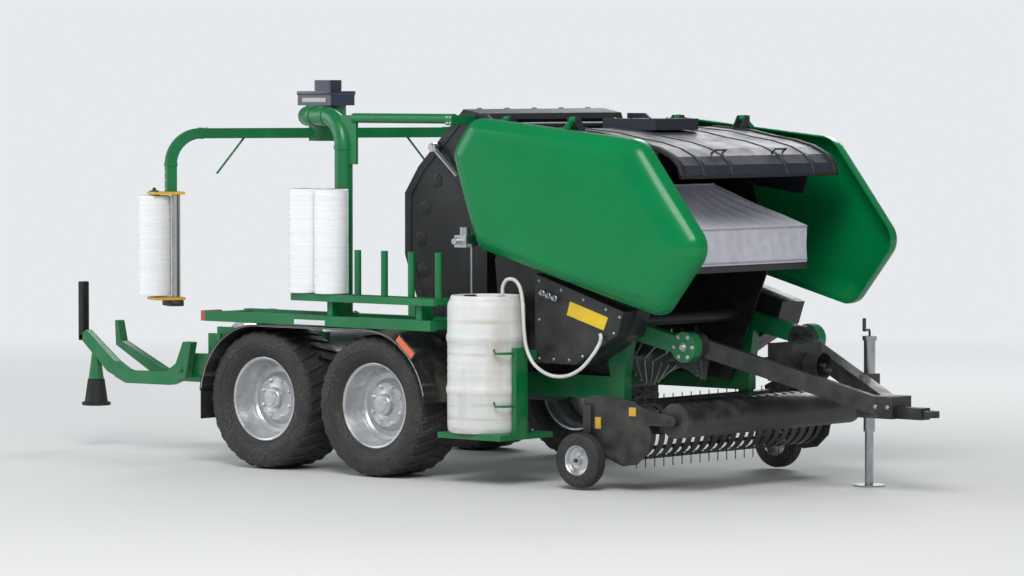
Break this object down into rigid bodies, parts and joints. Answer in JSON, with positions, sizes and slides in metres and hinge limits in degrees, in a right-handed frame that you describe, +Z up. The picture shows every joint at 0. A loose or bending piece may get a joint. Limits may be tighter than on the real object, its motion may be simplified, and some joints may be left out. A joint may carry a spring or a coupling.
{
  "type": "round baler with satellite bale wrapper",
  "caption": "Towed round baler and satellite bale wrapper on a tandem chassis, with pickup, tailgate, wrap table, twin satellite arms, film racks, additive barrel and bale tipper.",
  "frame": {"origin": "on the ground under the middle of the machine", "axes": "+X the direction of travel, +Y the left side, +Z up"},
  "size_m": [7.4498, 2.8619, 2.805],
  "materials": {
    "green_paint": "gloss green paint",
    "dark_paint": "satin black paint",
    "tyre_rubber": "black tyre rubber, dusty",
    "rim_zinc": "galvanised silver rim",
    "shell_green": "glossy moulded green shell",
    "hood_slate": "slate blue black sheet",
    "net_fabric": "silver grey coated fabric",
    "bright_steel": "zinc plated steel",
    "chrome_rod": "chromed rod",
    "film_white": "white stretch film",
    "barrel_white": "milky white plastic",
    "motor_navy": "navy blue black paint",
    "guard_black": "black moulded plastic",
    "hose_white": "translucent white hose",
    "yellow_paint": "yellow paint",
    "lamp_red": "red lamp lens"
  },
  "bodies": {
    "chassis": {"main_frame": "green_paint", "bogie_beams": "dark_paint", "side_decks": "green_paint", "mudguards": "guard_black", "drawbar": "dark_paint", "parking_jack": "bright_steel", "chamber_front": "dark_paint", "top_hood": "hood_slate", "net_box": "dark_paint", "net_cover": "net_fabric", "side_drives": "dark_paint", "gearbox": "dark_paint", "gantry": "green_paint", "hub_motor": "motor_navy", "film_racks": "green_paint", "spare_film_rolls": "film_white", "additive_barrel": "barrel_white", "barrel_bracket": "green_paint", "dosing_pump": "bright_steel", "dosing_hose": "hose_white", "tail_lamps": "lamp_red"},
    "wheel_rear_right": {"tyre_rear_right": "tyre_rubber", "rim_rear_right": "rim_zinc"},
    "wheel_front_right": {"tyre_front_right": "tyre_rubber", "rim_front_right": "rim_zinc"},
    "wheel_rear_left": {"tyre_rear_left": "tyre_rubber", "rim_rear_left": "rim_zinc"},
    "wheel_front_left": {"tyre_front_left": "tyre_rubber", "rim_front_left": "rim_zinc"},
    "shell_door_right": {"shell_right": "shell_green"},
    "shell_door_left": {"shell_left": "shell_green"},
    "gate": {"tailgate": "dark_paint"},
    "gate_tubes": {"gate_cylinder_tubes": "dark_paint"},
    "gate_rods": {"gate_cylinder_rods": "chrome_rod"},
    "rotor_feed": {"feed_rotor": "bright_steel"},
    "pickup": {"pickup_frame": "dark_paint"},
    "reel": {"pickup_reel": "dark_paint"},
    "crop_press": {"crop_roller": "dark_paint"},
    "gauge_right": {"gauge_wheel_right": "tyre_rubber"},
    "gauge_left": {"gauge_wheel_left": "tyre_rubber"},
    "satellites": {"satellite_arms": "green_paint", "film_dispensers": "yellow_paint"},
    "roll_front": {"film_roll_front": "film_white"},
    "roll_rear": {"film_roll_rear": "film_white"},
    "stretcher_front": {"stretch_rollers_front": "bright_steel"},
    "stretcher_rear": {"stretch_rollers_rear": "bright_steel"},
    "table": {"table_frame": "green_paint"},
    "table_drum_front": {"table_roller_front": "bright_steel"},
    "table_drum_rear": {"table_roller_rear": "bright_steel"},
    "tipper": {"bale_tipper": "green_paint"}
  },
  "joints": [
    {"name": "wheel_rear_right_spin", "type": "hinge", "parent": "chassis", "child": "wheel_rear_right", "pos_m": [-1.3, -1.1, 0.505], "axis": [0, 1, 0], "continuous": true},
    {"name": "wheel_rear_left_spin", "type": "hinge", "parent": "chassis", "child": "wheel_rear_left", "pos_m": [-1.3, 1.1, 0.505], "axis": [0, 1, 0], "continuous": true},
    {"name": "wheel_front_right_spin", "type": "hinge", "parent": "chassis", "child": "wheel_front_right", "pos_m": [-0.22, -1.1, 0.505], "axis": [0, 1, 0], "continuous": true},
    {"name": "wheel_front_left_spin", "type": "hinge", "parent": "chassis", "child": "wheel_front_left", "pos_m": [-0.22, 1.1, 0.505], "axis": [0, 1, 0], "continuous": true},
    {"name": "shell_right_lift", "type": "hinge", "parent": "chassis", "child": "shell_door_right", "pos_m": [1.24, -0.95, 2.53], "axis": [-1, 0, 0], "range_deg": [0, 75]},
    {"name": "shell_left_lift", "type": "hinge", "parent": "chassis", "child": "shell_door_left", "pos_m": [1.24, 0.95, 2.53], "axis": [1, 0, 0], "range_deg": [0, 75]},
    {"name": "gate_lift", "type": "hinge", "parent": "chassis", "child": "gate", "pos_m": [0.4, 0, 2.48], "axis": [0, 1, 0], "range_deg": [0, 70]},
    {"name": "gate_tubes_swing", "type": "hinge", "parent": "chassis", "child": "gate_tubes", "pos_m": [0.72, 0, 1.64], "axis": [0, 1, 0], "range_deg": [-1, 23]},
    {"name": "gate_rods_slide", "type": "slide", "parent": "gate_tubes", "child": "gate_rods", "axis": [-0.749, 0, 0.6626], "range_m": [-0.005, 0.34]},
    {"name": "feed_rotor_spin", "type": "hinge", "parent": "chassis", "child": "rotor_feed", "pos_m": [1.29, 0, 0.86], "axis": [0, 1, 0], "continuous": true},
    {"name": "pickup_lift", "type": "hinge", "parent": "chassis", "child": "pickup", "pos_m": [1.56, 0, 0.56], "axis": [0, -1, 0], "range_deg": [0, 18]},
    {"name": "reel_spin", "type": "hinge", "parent": "pickup", "child": "reel", "pos_m": [1.86, 0, 0.4], "axis": [0, 1, 0], "continuous": true},
    {"name": "crop_roller_spin", "type": "hinge", "parent": "pickup", "child": "crop_press", "pos_m": [2.26, 0, 0.5], "axis": [0, 1, 0], "continuous": true},
    {"name": "gauge_right_spin", "type": "hinge", "parent": "pickup", "child": "gauge_right", "pos_m": [1.54, -1.11, 0.205], "axis": [0, 1, 0], "continuous": true},
    {"name": "gauge_left_spin", "type": "hinge", "parent": "pickup", "child": "gauge_left", "pos_m": [1.54, 1.11, 0.205], "axis": [0, 1, 0], "continuous": true},
    {"name": "satellites_turn", "type": "hinge", "parent": "chassis", "child": "satellites", "pos_m": [-1.88, 0, 2.5], "axis": [0, 0, 1], "continuous": true},
    {"name": "roll_front_spin", "type": "hinge", "parent": "satellites", "child": "roll_front", "pos_m": [-1.215, 1.15181, 1.58], "axis": [0, 0, 1], "continuous": true},
    {"name": "roll_rear_spin", "type": "hinge", "parent": "satellites", "child": "roll_rear", "pos_m": [-2.545, -1.15181, 1.58], "axis": [0, 0, 1], "continuous": true},
    {"name": "stretcher_front_spin", "type": "hinge", "parent": "satellites", "child": "stretcher_front", "pos_m": [-1.38392, 1.09923, 1.58], "axis": [0, 0, 1], "continuous": true},
    {"name": "stretcher_rear_spin", "type": "hinge", "parent": "satellites", "child": "stretcher_rear", "pos_m": [-2.37608, -1.09923, 1.58], "axis": [0, 0, 1], "continuous": true},
    {"name": "table_tilt", "type": "hinge", "parent": "chassis", "child": "table", "pos_m": [-2.38, 0, 0.86], "axis": [0, -1, 0], "range_deg": [0, 25]},
    {"name": "table_drum_front_spin", "type": "hinge", "parent": "table", "child": "table_drum_front", "pos_m": [-1.49, 0, 0.9], "axis": [0, 1, 0], "continuous": true},
    {"name": "table_drum_rear_spin", "type": "hinge", "parent": "table", "child": "table_drum_rear", "pos_m": [-2.27, 0, 0.9], "axis": [0, 1, 0], "continuous": true},
    {"name": "tipper_lift", "type": "hinge", "parent": "chassis", "child": "tipper", "pos_m": [-2.61, 0, 0.64], "axis": [0, 1, 0], "range_deg": [-20, 45]}
  ],
  "couplings": [
    {"joint": "gate_tubes_swing", "follows": "gate_lift", "ratio": 0.3094},
    {"joint": "gate_rods_slide", "follows": "gate_lift", "m_per_rad": 0.2682}
  ]
}
